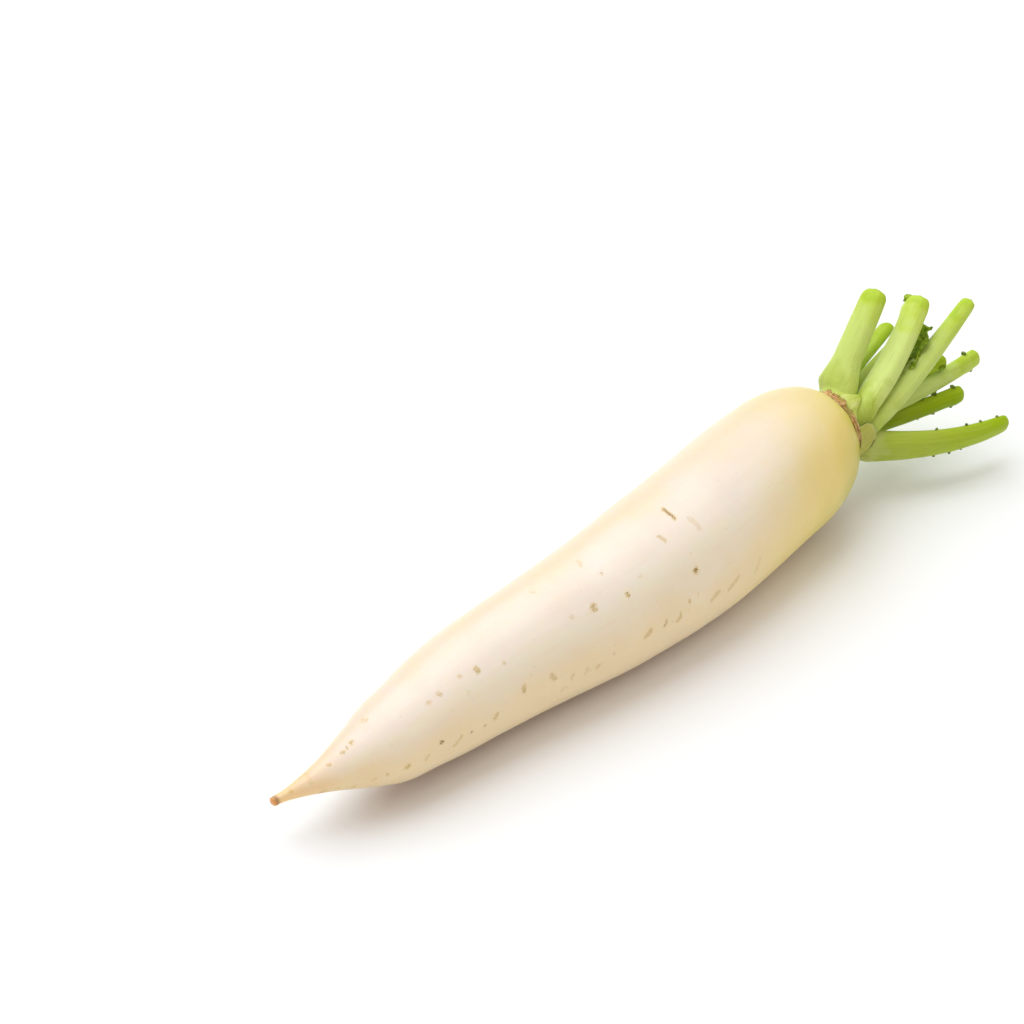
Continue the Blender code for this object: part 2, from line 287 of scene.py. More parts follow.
def place_on_axis(along):
    side = read_curve(AXIS_CURVE, along) - AXIS_SIDE_AT_REST
    return Vector((along - REST_AT, side, BELLY_DEPTH + AXIS_RISE * (along - REST_AT)))


def round_axis(radius, angle):
    """Offset from the axis at an angle read from +Y towards +Z."""
    turn = math.radians(angle)
    return Vector((0, radius * math.cos(turn), radius * math.sin(turn)))


def around_axis(along, radius, angle):
    return place_on_axis(along) + round_axis(radius, angle)


def wander(place, size):
    """Smooth noise from -1 to 1 that changes over this size."""
    return noise.noise(place / size)


def finish_piece(name, shape, finishes, nodes=()):
    """Turns a bmesh into a piece that rides on the root and stands for CAD nodes."""
    bmesh.ops.recalc_face_normals(shape, faces=shape.faces)
    mesh = bpy.data.meshes.new(name)
    shape.to_mesh(mesh)
    shape.free()
    for finish in finishes:
        mesh.materials.append(finish)
    mesh.shade_smooth()
    piece = bpy.data.objects.new(name, mesh)
    bpy.context.scene.collection.objects.link(piece)
    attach(piece, "root")
    if nodes:
        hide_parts(*nodes)
    return piece


def make_finish(name, look):
    """A finish whose look adds its own nodes and gives the settings of its surface."""
    finish = bpy.data.materials.new(name)
    finish.use_nodes = True
    tree = finish.node_tree
    tree.nodes.clear()
    add = partial(add_node, tree)
    surface = add("BsdfPrincipled", look(add))
    add("OutputMaterial", {0: surface})
    return finish


# ---- finishes
# Every `grain` attribute holds a point's place on the unbent piece, in millimetres, so a
# noise scale of 1 / 3 makes marks about 3 mm apart.

EASED = "SMOOTHSTEP"


def tint(add, colour, source, start, full, strength, code, ease="LINEAR"):
    """Lays a colour over another, from none where source is start to strength at full."""
    span = {0: source, "From Min": start, "From Max": full, "To Max": strength}
    share = add("MapRange", span, interpolation_type=ease)
    layers = {0: share, 6: colour, 7: linear(code)}
    return add("Mix", layers, out=2, data_type="RGBA")


def daikon_skin(add):
    """Fresh washed daikon skin.

    Thin, moist and slightly translucent: creamy white with a soft gloss, faint rings,
    yellow to green where the shoulder stood in the light, tan where the tail broke.
    Painted shade makes the shaded side and the belly yellower and browner.
    """
    grain = add("Attribute", attribute_name="grain", out="Vector")
    along = add("SeparateXYZ", {0: grain})
    # Painted light and shade: the side away from the softbox is painted yellower all along,
    # and the lit side whiter.
    across = add("VectorMath", {0: grain, 1: (0.0, 1.0, 1.0)}, operation="MULTIPLY")
    across = add("VectorMath", {0: across}, operation="NORMALIZE")
    shade_side, down = (
        add("VectorMath", {0: across, 1: way}, operation="DOT_PRODUCT", out="Value")
        for way in (SHADED_SIDE, BELLY_SIDE)
    )
    cloud = add("TexNoise", {"Vector": grain, "Scale": 1 / 28, "Detail": 3.0})
    place = add("Math", {0: cloud, 1: 0.3, 2: 0.35}, operation="MULTIPLY_ADD")
    place = add("Math", {0: shade_side, 1: 0.45, 2: place}, operation="MULTIPLY_ADD")
    # These stops run from the lit side, whiter, to the shaded side, tan: painted light and shade.
    stops = [
        (0.07, "#EDDABA"), (0.17, "#EEDCC9"), (0.28, "#F2E3D4"), (0.40, "#F6E8D8"),
        (0.51, "#F6EAD1"), (0.61, "#F8E7CB"), (0.73, "#F5E0B6"), (0.86, "#F2DCB0"),
    ]
    colour = add("ValToRGB", {0: place}, stops)
    # Streaks run with the root, a few millimetres wide and centimetres long.
    run = add("Mapping", {"Vector": grain, "Scale": (0.03, 0.35, 0.35)})
    streak = add("TexNoise", {"Vector": run, "Scale": 1.0, "Detail": 3.0})
    colour = tint(add, colour, streak, 0.5, 0.8, 0.14, "#E6D0AA")
    # The shoulder turns yellow, then green close to the leaves. Both colours reach further
    # down on the shaded side, and that extra reach is painted shade.
    patch = add("TexNoise", {"Vector": grain, "Scale": 1 / 22, "Detail": 2.0})
    shift = add("Math", {0: patch, 1: 30.0, 2: -15.0}, operation="MULTIPLY_ADD")
    reach = add("Math", {0: along, 1: shift}, operation="ADD")
    shade_reach = add("Math", {0: shade_side, 1: 36.0, 2: reach}, operation="MULTIPLY_ADD")
    colour = tint(add, colour, shade_reach, 238.0, 352.0, 1.0, "#F0D768", EASED)
    colour = tint(add, colour, shade_reach, 314.0, 368.0, 0.85, "#C6BC36", EASED)
    # Above the neck the crown is leaf-stalk tissue.
    colour = tint(add, colour, along, 349.0, 351.5, 1.0, "#B9C56A")
    # The tail yellows towards its broken tip. The belly is painted dark brown: painted
    # shadow where it lies on the floor.
    colour = tint(add, colour, reach, 48.0, -10.0, 0.8, "#ECC47C", EASED)
    colour = tint(add, colour, down, 0.68, 0.94, 0.75, "#B98A4C", EASED)
    stops = [(0.0, "#DFA25E"), (0.35, "#D49A58"), (0.62, "#A5824C")]
    torn_ramp = add("MapRange", {0: along, "From Min": -0.6, "From Max": 2.6})
    torn = add("ValToRGB", {0: torn_ramp}, stops)
    span = {0: along, "From Min": 3.4, "From Max": 1.2}
    tip = add("MapRange", span, interpolation_type=EASED)
    colour = add("Mix", {0: tip, 6: colour, 7: torn}, out=2, data_type="RGBA")
    # Pinprick pores, drawn about 0.5 mm wide so that they show.
    pore = add("TexVoronoi", {"Vector": grain, "Scale": 1 / 7.5}, feature="F1")
    span = {0: pore, "From Min": 0.075, "From Max": 0.03, "To Max": 0.22}
    pore_share = add("MapRange", span)
    layers = {0: pore_share, 6: colour, 7: linear("#B99A62")}
    colour = add("Mix", layers, out=2, data_type="RGBA")
    # Scars of side roots: `scar` is the place on the scar in half lengths and half widths.
    scar = add("Attribute", attribute_name="scar", out="Vector")
    look = add("Attribute", attribute_name="scar_look", out="Vector")
    tone_place, strength = add("SeparateXYZ", {0: look}, out=slice(2))
    far = add("VectorMath", {0: scar}, operation="LENGTH", out="Value")
    fray = add("TexNoise", {"Vector": grain, "Scale": 0.9, "Detail": 3.0})
    frayed = add("Math", {0: fray, 1: 3.4, 2: -1.7}, operation="MULTIPLY_ADD")
    edge = add("Math", {0: far, 1: frayed}, operation="ADD")
    span = {0: edge, "From Min": 1.25, "From Max": 0.45}
    core = add("MapRange", span, interpolation_type=EASED)
    # Tan and olive scars have healed in the middle: there only a corky rim is left.
    from_rim = add("Math", {0: edge, 1: 0.75}, operation="SUBTRACT")
    from_rim = add("Math", {0: from_rim}, operation="ABSOLUTE")
    span = {0: from_rim, "From Min": 0.48, "From Max": 0.1, "To Max": 0.75}
    rim = add("MapRange", span, interpolation_type=EASED)
    span = {0: tone_place, "From Min": 0.4, "From Max": 0.6, "To Min": 0.14}
    filled = add("MapRange", span)
    core = add("Mix", {0: filled, 2: rim, 3: core})
    # The corky core is broken into specks about half a millimetre wide.
    crumb = add("TexNoise", {"Vector": grain, "Scale": 1.7, "Detail": 2.0})
    span = {0: crumb, "From Min": 0.42, "From Max": 0.58, "To Min": 0.08}
    crumbs = add("MapRange", span, interpolation_type=EASED)
    core = add("Math", {0: core, 1: crumbs}, operation="MULTIPLY")
    core = add("Math", {0: core, 1: strength}, operation="MULTIPLY")
    span = {0: edge, "From Min": 2.3, "From Max": 0.7, "To Max": 0.75}
    halo = add("MapRange", span, interpolation_type=EASED)
    halo = add("Math", {0: halo, 1: strength}, operation="MULTIPLY")
    stops = [(0.0, "#BE9436"), (0.33, "#A2842C"), (0.67, "#553410"), (1.0, "#8A5824")]
    tone = add("ValToRGB", {0: tone_place}, stops)
    for share, stain in ((halo, linear("#D9B65C")), (core, tone)):
        colour = add("Mix", {0: share, 6: colour, 7: stain}, out=2, data_type="RGBA")
    # Relief: faint rings round the root 2 to 5 mm apart, fine skin texture, sunken scars.
    ring_run = add("Mapping", {"Vector": grain, "Scale": (0.34, 0.035, 0.035)})
    relief = add("TexNoise", {"Vector": ring_run, "Scale": 1.0, "Detail": 3.0})
    fine = add("TexNoise", {"Vector": grain, "Scale": 1.6, "Detail": 4.0})
    for height, share in ((fine, 0.18), (core, -0.7), (pore_share, -0.5)):
        heights = {0: height, 1: share, 2: relief}
        relief = add("Math", heights, operation="MULTIPLY_ADD")
    bump = add("Bump", {"Height": relief, "Strength": 0.55, "Distance": 0.00022})
    span = {0: fine, "From Min": 0.3, "From Max": 0.7, "To Min": 0.36, "To Max": 0.5}
    gloss = add("MapRange", span)
    return {
        "Base Color": colour, "Roughness": gloss, "Normal": bump, "IOR": 1.5, "Coat Weight": 0.6,
        "Coat Roughness": 0.36, "Subsurface Weight": 0.5, "Subsurface Radius": (1.0, 0.55, 0.25),
        "Subsurface Scale": 0.008,
    }


def stalk_skin(add):
    """Living petiole skin.

    Waxy, ribbed lengthwise by its strands: pale, almost white at the foot, fresh green
    along the stalk and deeper towards the cut end, with a glow where light comes through.
    """
    grain = add("Attribute", attribute_name="grain", out="Vector")
    growth = add("Attribute", attribute_name="growth", out="Vector")
    share, paleness_and_shade, shade = add("SeparateXYZ", {0: growth}, out=slice(3))
    blot = add("TexNoise", {"Vector": grain, "Scale": 1 / 9, "Detail": 3.0})
    shift = add("Math", {0: blot, 1: 0.7, 2: -0.35}, operation="MULTIPLY_ADD")
    place = add("Math", {0: share, 1: shift}, operation="ADD")
    stops = [
        (0.0, "#B2C24E"), (0.12, "#BFCF62"), (0.32, "#D3E284"), (0.65, "#D6E688"),
        (0.88, "#CDDF60"), (1.0, "#BCD440"),
    ]
    pale = add("ValToRGB", {0: place}, stops)
    stops = [(0.0, "#C4CE78"), (0.2, "#ACBC40"), (0.6, "#A4BA0A"), (1.0, "#A0BC04")]
    deep = add("ValToRGB", {0: place}, stops)
    # Stalks low on paleness_and_shade take the deep ramp: partly their own colour, partly painted
    # shade.
    colour = add("Mix", {0: paleness_and_shade, 6: deep, 7: pale}, out=2, data_type="RGBA")
    # Strands under the skin, about 0.9 mm apart, show as lighter and darker lines.
    run = add("Mapping", {"Vector": grain, "Scale": (1.1, 1.1, 0.035)})
    strand = add("TexNoise", {"Vector": run, "Scale": 1.0, "Detail": 2.5})
    colour = tint(add, colour, strand, 0.52, 0.75, 0.11, "#DCE78C")
    colour = tint(add, colour, strand, 0.45, 0.25, 0.25, "#7F9C1E")
    # Painted shade: the hollow inner face, turned towards the crown, is painted deeper green
    # than the round outer one.
    colour = tint(add, colour, shade, 0.0, 1.0, 0.3, "#7A9A1C")
    fine = add("TexNoise", {"Vector": grain, "Scale": 2.2, "Detail": 3.0})
    relief = add("Math", {0: fine, 1: 0.15, 2: strand}, operation="MULTIPLY_ADD")
    bump = add("Bump", {"Height": relief, "Strength": 0.6, "Distance": 0.0004})
    span = {0: fine, "From Min": 0.3, "From Max": 0.7, "To Min": 0.34, "To Max": 0.5}
    gloss = add("MapRange", span)
    return {
        "Base Color": colour, "Roughness": gloss, "Normal": bump, "IOR": 1.42,
        "Specular IOR Level": 0.22, "Subsurface Weight": 0.3,
        "Subsurface Radius": (0.55, 1.0, 0.16), "Subsurface Scale": 0.004,
    }


def cut_stalk(add):
    """Knife-cut petiole end: moist pale pith inside a green rind, dotted with strands."""
    grain = add("Attribute", attribute_name="grain", out="Vector")
    growth = add("Attribute", attribute_name="growth", out="Vector")
    rim = add("SeparateXYZ", {0: growth}, out="Z")
    stops = [(0.0, "#DAE29C"), (0.55, "#CFDA80"), (0.85, "#B9CD50"), (1.0, "#A6C438")]
    colour = add("ValToRGB", {0: rim}, stops)
    # Strand ends about 1.3 mm apart.
    dots = add("TexVoronoi", {"Vector": grain, "Scale": 0.75}, feature="F1")
    colour = tint(add, colour, dots, 0.32, 0.2, 0.55, "#87A53C")
    rough = add("TexNoise", {"Vector": grain, "Scale": 1.4, "Detail": 3.0})
    bump = add("Bump", {"Height": rough, "Strength": 0.5, "Distance": 0.0003})
    return {
        "Base Color": colour, "Roughness": 0.38, "Normal": bump, "IOR": 1.38,
        "Subsurface Weight": 0.3, "Subsurface Radius": (0.7, 1.0, 0.3), "Subsurface Scale": 0.003,
    }


def cut_leaflet(add):
    """Cut leaflet stumps: dried dark olive tissue, rough and dull."""
    place = add("TexCoord", out="Object")
    patch = add("TexNoise", {"Vector": place, "Scale": 900.0, "Detail": 3.0})
    stops = [(0.35, "#50641A"), (0.55, "#6E862E"), (0.7, "#9A9A50")]
    colour = add("ValToRGB", {0: patch}, stops)
    bump = add("Bump", {"Height": patch, "Strength": 0.7, "Distance": 0.0003})
    return {"Base Color": colour, "Roughness": 0.7, "Normal": bump, "IOR": 1.42}


def young_leaf_blade(add):
    """Young leaf blade: dark green, crinkled between paler veins, slightly waxy."""
    grain = add("Attribute", attribute_name="grain", out="Vector")
    patch = add("TexNoise", {"Vector": grain, "Scale": 0.5, "Detail": 4.0})
    stops = [(0.3, "#506C04"), (0.5, "#8AA41A"), (0.66, "#B8C840")]
    colour = add("ValToRGB", {0: patch}, stops)
    # Veins about 2.4 mm apart.
    veins = {"Vector": grain, "Scale": 0.42}
    vein = add("TexVoronoi", veins, feature="DISTANCE_TO_EDGE")
    colour = tint(add, colour, vein, 0.09, 0.0, 0.55, "#96AE30")
    blister = add("MapRange", {0: vein, "From Min": 0.0, "From Max": 0.4})
    bump = add("Bump", {"Height": blister, "Strength": 0.7, "Distance": 0.0006})
    return {
        "Base Color": colour, "Roughness": 0.55, "Normal": bump, "IOR": 1.42,
        "Specular IOR Level": 0.2, "Subsurface Weight": 0.15, "Subsurface Radius": (0.3, 1.0, 0.1),
        "Subsurface Scale": 0.001,
    }


def dry_fibre(add):
    """Dried, torn leaf bases: reddish-brown fibres that lie round the neck, dull."""
    grain = add("Attribute", attribute_name="grain", out="Vector")
    # Fibres about 0.4 mm thick run round the neck.
    run = add("Mapping", {"Vector": grain, "Scale": (0.12, 2.4, 2.4)})
    fibre = add("TexNoise", {"Vector": run, "Scale": 1.0, "Detail": 4.0})
    stops = [(0.34, "#5A3812"), (0.44, "#A66E2E"), (0.54, "#CC9C5C"), (0.66, "#ECCFA2")]
    colour = add("ValToRGB", {0: fibre}, stops)
    patch = add("TexNoise", {"Vector": grain, "Scale": 1 / 7, "Detail": 2.0})
    colour = tint(add, colour, patch, 0.50, 0.66, 0.7, "#A8A24C")
    bump = add("Bump", {"Height": fibre, "Strength": 0.9, "Distance": 0.0005})
    return {"Base Color": colour, "Roughness": 0.78, "Normal": bump, "IOR": 1.42}


def old_leaf_base(add, tissue, edge_colour, under_edge_shade_strength):
    """Bases of leaves cut earlier: leathery tissue, green to olive, painted shade in the crease."""
    grain = add("Attribute", attribute_name="grain", out="Vector")
    growth = add("Attribute", attribute_name="growth", out="Vector")
    edge, _, round_share = add("SeparateXYZ", {0: growth}, out=slice(3))
    run = add("Mapping", {"Vector": grain, "Scale": (0.28, 0.12, 0.28)})
    streak = add("TexNoise", {"Vector": run, "Scale": 1.0, "Detail": 3.0})
    colour = add("ValToRGB", {0: streak}, list(zip((0.3, 0.5, 0.7), tissue)))
    rim = add("MapRange", {0: edge, "From Min": 0.80, "From Max": 0.96})
    # Painted shade darkens the crease under one side of the cut edge.
    span = {0: round_share, "From Min": 0.5, "From Max": 0.62, "To Max": under_edge_shade_strength}
    under_edge_side = add("MapRange", span)
    under_edge_shade = add("Math", {0: under_edge_side, 1: rim}, operation="MULTIPLY")
    for share, code in ((rim, edge_colour), (under_edge_shade, "#4E4A1A")):
        layers = {0: share, 6: colour, 7: linear(code)}
        colour = add("Mix", layers, out=2, data_type="RGBA")
    bump = add("Bump", {"Height": streak, "Strength": 0.4, "Distance": 0.0004})
    return {
        "Base Color": colour, "Roughness": 0.55, "Normal": bump, "IOR": 1.42,
        "Subsurface Weight": 0.2, "Subsurface Radius": (0.8, 1.0, 0.3), "Subsurface Scale": 0.002,
    }


def green_leaf_base(add):
    """Leaf bases cut flush some days ago, still green."""
    return old_leaf_base(add, ("#B0BE48", "#C4CE64", "#D6DA8C"), "#9EB826", 0.0)


def olive_leaf_base(add):
    """The base of one older leaf, turned olive, with painted shade in its crease."""
    return old_leaf_base(add, ("#AEAE44", "#B8B84C", "#C0BE58"), "#BEC06A", 1.0)


# ---- the root


def root_outline():
    """(along, radius) points of the root from tail tip to crown, about evenly spaced."""
    fine = smooth_through(ROOT_OUTLINE, 24) + smooth_through(CROWN_OUTLINE, 8)[1:]
    kept = [fine[0]]
    for point in fine[1:-1]:
        step = math.dist(point, kept[-1])
        near_end = not CLOSE_RINGS[0] <= point[0] <= CLOSE_RINGS[1]
        if step >= (ROOT_RING_GAP / 3 if near_end else ROOT_RING_GAP):
            kept.append(point)
    return [(0.0, 0.0), (-0.0002, 0.0008), *kept, fine[-1]]


def root_relief(along, radius, angle):
    """How far the skin stands out from the turned outline, in metres."""
    place = Vector((along, radius * math.cos(angle), radius * math.sin(angle)))
    # Lumps and rings fade out towards the thin tail and at the neck.
    body = smooth((along - 0.01) / 0.06) * smooth((0.352 - along) / 0.02)
    lumps = sum(height * wander(place, width) for height, width in LUMPS)
    rings = GROWTH_RING_HEIGHT * wander(Vector((along / GROWTH_RING_GAP, angle * 0.8, 3.0)), 1.0)
    relief = body * (lumps + rings)
    tip = smooth((TIP_LENGTH - along) / TIP_LENGTH)
    relief += tip * TIP_HEIGHT * wander(place, TIP_GRAIN)
    fold = smooth(1 - abs(along - FOLDS_AT) / FOLDS_REACH)
    relief += fold * FOLD_HEIGHT * math.sin(FOLDS_ROUND * angle + 2 * wander(place, 0.02))
    return relief


def scar_rows(chance):
    """The listed scars, and seeded ones in the rows that face away."""
    scars = list(SCARS)
    for row in FAR_ROWS:
        for place in range(FAR_ROW_SCARS):
            share = (place + chance.uniform(0.1, 0.9)) / FAR_ROW_SCARS
            tone = chance.choice((TAN, OLIVE, TAN, BROWN))
            half_length = chance.uniform(0.4, 2.6) if tone != BROWN else 0.45
            angle = row + chance.uniform(-FAR_ROW_SPREAD, FAR_ROW_SPREAD)
            half_width = chance.uniform(0.35, 0.65)
            tilt = chance.uniform(60, 110)
            strength = chance.uniform(0.35, 0.8)
            along = FAR_ROW_START + FAR_ROW_RUN * share
            scars.append((along, angle, half_length, half_width, tilt, tone, strength))
    return scars


def mark_scars(shape, outline):
    """Tells each point of skin near a scar where on the scar it lies."""
    grain = shape.verts.layers.float_vector["grain"]
    scar_layer = shape.verts.layers.float_vector.new("scar")
    look_layer = shape.verts.layers.float_vector.new("scar_look")
    skin = kdtree.KDTree(len(shape.verts))
    for vertex in shape.verts:
        skin.insert(vertex[grain], vertex.index)
        vertex[scar_layer] = Vector((FAR, FAR, 0))
    skin.balance()
    shape.verts.ensure_lookup_table()
    owner = {}
    for number, scar in enumerate(scar_rows(random.Random(11))):
        along, angle, half_length, half_width, tilt, tone, strength = scar
        radius = read_curve(outline, along * MM) / MM
        turn = math.radians(angle)
        centre = Vector((along, radius * math.cos(turn), radius * math.sin(turn)))
        round_way = Vector((0, -math.sin(turn), math.cos(turn)))
        lie = math.radians(tilt)
        long_way = Vector((math.cos(lie), 0, 0)) + round_way * math.sin(lie)
        cross_way = Vector((-math.sin(lie), 0, 0)) + round_way * math.cos(lie)
        for co, index, _ in skin.find_range(centre, half_length + SCAR_REACH):
            offset = co - centre
            u = offset.dot(long_way)
            v = offset.dot(cross_way)
            past = math.hypot(max(0, abs(u) - half_length), max(0, abs(v) - half_width))
            if past > SCAR_REACH:
                continue
            if half_length > 1.2:
                v += 0.5 * half_width * math.sin(2.4 * u / half_length + number)
            inside = min(1.0, abs(u) / half_length)
            lengthwise = 0.8 * inside**2 + max(0.0, abs(u) - half_length) / (half_width + SCAR_BLUR)
            spot = Vector((lengthwise, v / (half_width + SCAR_BLUR), 0))
            look = Vector((tone, strength, 0))
            owner.setdefault(index, []).append((past, spot, look))
    for index, claims in owner.items():
        claims.sort(key=lambda claim: claim[0])
        if len(claims) > 1 and claims[1][0] - claims[0][0] < SCAR_MARGIN:
            continue
        vertex = shape.verts[index]
        vertex[scar_layer] = claims[0][1]
        vertex[look_layer] = claims[0][2]


def make_root(skin):
    outline = root_outline()
    shape = bmesh.new()
    corners = [shape.verts.new((along, 0, radius)) for along, radius in outline]
    edges = [shape.edges.new(pair) for pair in zip(corners, corners[1:])]
    bmesh.ops.spin(
        shape, geom=corners + edges, cent=(0, 0, 0), axis=(1, 0, 0), angle=2 * math.pi,
        steps=ROOT_SIDES, use_merge=True,
    )
    bmesh.ops.remove_doubles(shape, verts=shape.verts, dist=MERGE_DISTANCE)
    shape.verts.ensure_lookup_table()
    shape.verts.index_update()
    grain = shape.verts.layers.float_vector.new("grain")
    for vertex in shape.verts:
        vertex[grain] = vertex.co / MM
    mark_scars(shape, outline)
    for vertex in shape.verts:
        along, y, z = vertex.co
        angle = math.atan2(z, y)
        radius = math.hypot(y, z)
        radius += root_relief(along, radius, angle) if radius > 0.0005 else 0
        centre = place_on_axis(along)
        vertex.co = centre + Vector((0, radius * math.cos(angle), radius * math.sin(angle)))
        # The belly lies flat where it bears the weight.
        vertex.co.z = max(vertex.co.z, 0.0)
    return finish_piece("daikon_root", shape, [skin], ["root"])


# ---- the leaf stalks


def stalk_stations(row):
    """Stations of a stalk from inside the crown to its cut end.

    Each holds the distance grown, the point (along, out) and the lean there.
    """
    length = row["length"]
    stations = []
    along, out = -STALK_SUNK, 0.0
    grown = -STALK_SUNK
    step = (length + STALK_SUNK) / STALK_STEPS
    while True:
        share = max(0.0, grown / length)
        lean = math.radians(row["lean"] + row["curl"] * (share - 0.5))
        lean *= smooth((grown - LEAN_STARTS) / (LEAN_FULL - LEAN_STARTS))
        stations.append((grown, along, out, lean))
        if grown > length - 1e-6:
            return stations
        ahead = min(step, length - grown)
        grown += ahead
        along += ahead * math.cos(lean)
        out += ahead * math.sin(lean)


def stalk_section(turn, name, share):
    """(across, out) on the half-moon section, one wide, round outside and hollow inside."""
    swell = 1.0
    for at, angle, wider, reach, spread in SWELLINGS.get(name, ()):
        gap = (math.degrees(turn) - angle + 180) % 360 - 180
        swell += wider * math.exp(-(((share - at) / reach) ** 2) - (gap / spread) ** 2)
    ribs = 1 + 0.012 * math.cos(13 * turn) + 0.022 * math.cos(5 * turn + 0.6)
    across = 0.5 * math.cos(turn) * ribs * swell
    out = 0.5 * STALK_THICKNESS * math.sin(turn) * ribs * swell
    if out < 0:
        out += CHANNEL_DEPTH * STALK_THICKNESS * 0.5 * math.sin(turn) ** 2
    return across, out


def stalk_width(row, grown):
    middle = row["mid_width"]
    if grown < FLARE_LENGTH:
        foot = row["foot_width"]
        return foot + (middle - foot) * smooth(grown / FLARE_LENGTH)
    share = (grown - FLARE_LENGTH) / (row["length"] - FLARE_LENGTH)
    return middle + (row["end_width"] - middle) * share


def stalk_frame(row, station):
    """Centre and the along, outward and sideways directions at a station."""
    grown, along, out, lean = station
    outward = round_axis(1, row["toward"])
    foot = around_axis(STALK_FOOT_AT, row["foot_radius"], row["foot_angle"])
    axis = Vector((1, 0, 0))
    centre = foot + axis * along + outward * out
    ahead = axis * math.cos(lean) + outward * math.sin(lean)
    round_side = outward * math.cos(lean) - axis * math.sin(lean)
    return centre, ahead, round_side, round_side.cross(ahead)


def stalk_point(row, name, station, turn, scale=1.0, past=0.0):
    """A point of the stalk's skin, with the section bent round the crown at the foot."""
    grown = station[0]
    share = max(0.0, grown / row["length"])
    width = stalk_width(row, grown) * scale
    depth = stalk_width(row, max(grown, FLARE_LENGTH)) * scale
    clasp = 1 - smooth((grown + 0.002) / CLASP_LENGTH)
    across, out = stalk_section(turn, name, share)
    across, out = across * width, out * depth * (1 - 0.2 * clasp)
    centre, ahead, round_side, side = stalk_frame(row, station)
    if clasp > 0.01 and row["foot_radius"] > 0.008:
        # At the foot the round side faces away from the root's axis, not along `toward`.
        away = round_axis(1, row["foot_angle"])
        round_side = (round_side.lerp(away, clasp)).normalized()
        side = round_side.cross(ahead).normalized()
        reach = row["foot_radius"] / clasp
        bend = across / reach
        out, across = (reach + out) * math.cos(bend) - reach, (reach + out) * math.sin(bend)
    point = centre + round_side * out + side * across + ahead * past
    unbent = Vector((across, out, grown + past)) / MM
    return point, unbent


def add_stump(shape, place, away, size, chance):
    """A rough little stump left by a cut leaflet."""
    made = bmesh.ops.create_icosphere(shape, subdivisions=2, radius=size)["verts"]
    turn = away.to_track_quat("Z", "Y").to_matrix()
    seed = Vector((chance.random(), chance.random(), chance.random()))
    for vertex in made:
        rough = 1 + 0.45 * wander(vertex.co / size + seed * 30, 1.0)
        flat = Vector((vertex.co.x * 0.75, vertex.co.y * 1.15, vertex.co.z * 0.8))
        vertex.co = place + turn @ (flat * rough)
    faces = {face for vertex in made for face in vertex.link_faces}
    for face in faces:
        face.material_index = 2


def make_stalk(name, finishes, chance):
    row = dict(zip(STALK_FIELDS, STALKS[name]))
    shape = bmesh.new()
    grain = shape.verts.layers.float_vector.new("grain")
    growth = shape.verts.layers.float_vector.new("growth")
    turn_of = shape.verts.layers.float.new("turn")
    ring = bmesh.ops.create_circle(shape, segments=STALK_SIDES, radius=1)["verts"]
    for vertex in ring:
        vertex[turn_of] = math.atan2(vertex.co.y, vertex.co.x) % (2 * math.pi)
    foot_edges = list({edge for vertex in ring for edge in vertex.link_edges})
    stations = stalk_stations(row)
    length = row["length"]
    edge_round = CUT_EDGE_ROUND * row["end_width"]
    wobble_seed = chance.uniform(0, 50)

    # (station, scale of the section, how far past the station, on the cut face)
    last_whole = length - edge_round * 1.6
    rings = [(station, 1.0, 0.0, False) for station in stations if station[0] < last_whole]
    last = stations[-1]
    for step in range(1, 6):
        round_turn = math.radians(18 * step)
        scale = 1 - 2 * edge_round * (1 - math.cos(round_turn)) / row["end_width"]
        rings.append((last, scale, -1.3 * edge_round * (1 - math.sin(round_turn)), False))
    flat_scale = rings[-1][1]
    for shrink in (0.93, 0.72, 0.45, 0.18):
        rings.append((last, flat_scale * shrink, 0.0, True))

    for number, (station, scale, past, on_cut) in enumerate(rings):
        if number:
            edges = [e for e in shape.edges if e.verts[0] in ring_set and e.verts[1] in ring_set]
            grown_on = bmesh.ops.extrude_edge_only(shape, edges=edges)["geom"]
            ring = [part for part in grown_on if isinstance(part, bmesh.types.BMVert)]
            if on_cut:
                for part in grown_on:
                    if isinstance(part, bmesh.types.BMFace):
                        part.material_index = 1
        ring_set = set(ring)
        for vertex in ring:
            turn = vertex[turn_of]
            point, unbent = stalk_point(row, name, station, turn, scale, past)
            spot = Vector((unbent.x / 3, unbent.y / 3, unbent.z / 9 + wobble_seed))
            skin = STALK_LUMPS * wander(spot, 1.0)
            lift = 0.0
            if on_cut:
                lift = CUT_FACE_ROUGH * wander(Vector((unbent.x / 2, unbent.y / 2, wobble_seed)), 1.0)
                lift += CUT_FACE_DOME * (1 - (scale / flat_scale) ** 2)
            centre, ahead, round_side, side = stalk_frame(row, station)
            outward = point - centre
            if outward.length > 1e-6:
                point += outward.normalized() * skin
            vertex.co = point + ahead * lift
            vertex[grain] = unbent
            # The hollow inner face is marked here for painted shade in the stalk's finish.
            inner = smooth(-math.sin(turn) * 1.6)
            rim = scale / flat_scale if on_cut else inner
            vertex[growth] = Vector((max(0, station[0] / length), row["paleness_and_shade"], rim))
    bmesh.ops.pointmerge(shape, verts=ring, merge_co=sum((v.co for v in ring), Vector()) / len(ring))
    bmesh.ops.edgeloop_fill(shape, edges=foot_edges)
    for share, angle, size in STUMPS.get(name, ()):
        station = min(stations, key=lambda s: abs(s[0] - share * length))
        place, _ = stalk_point(row, name, station, math.radians(angle))
        centre = stalk_frame(row, station)[0]
        away = (place - centre).normalized()
        add_stump(shape, place + away * size * 0.25, away, size, chance)
    return finish_piece(name + "_grown", shape, finishes, [name])


# ---- collar, old leaf bases, leaf


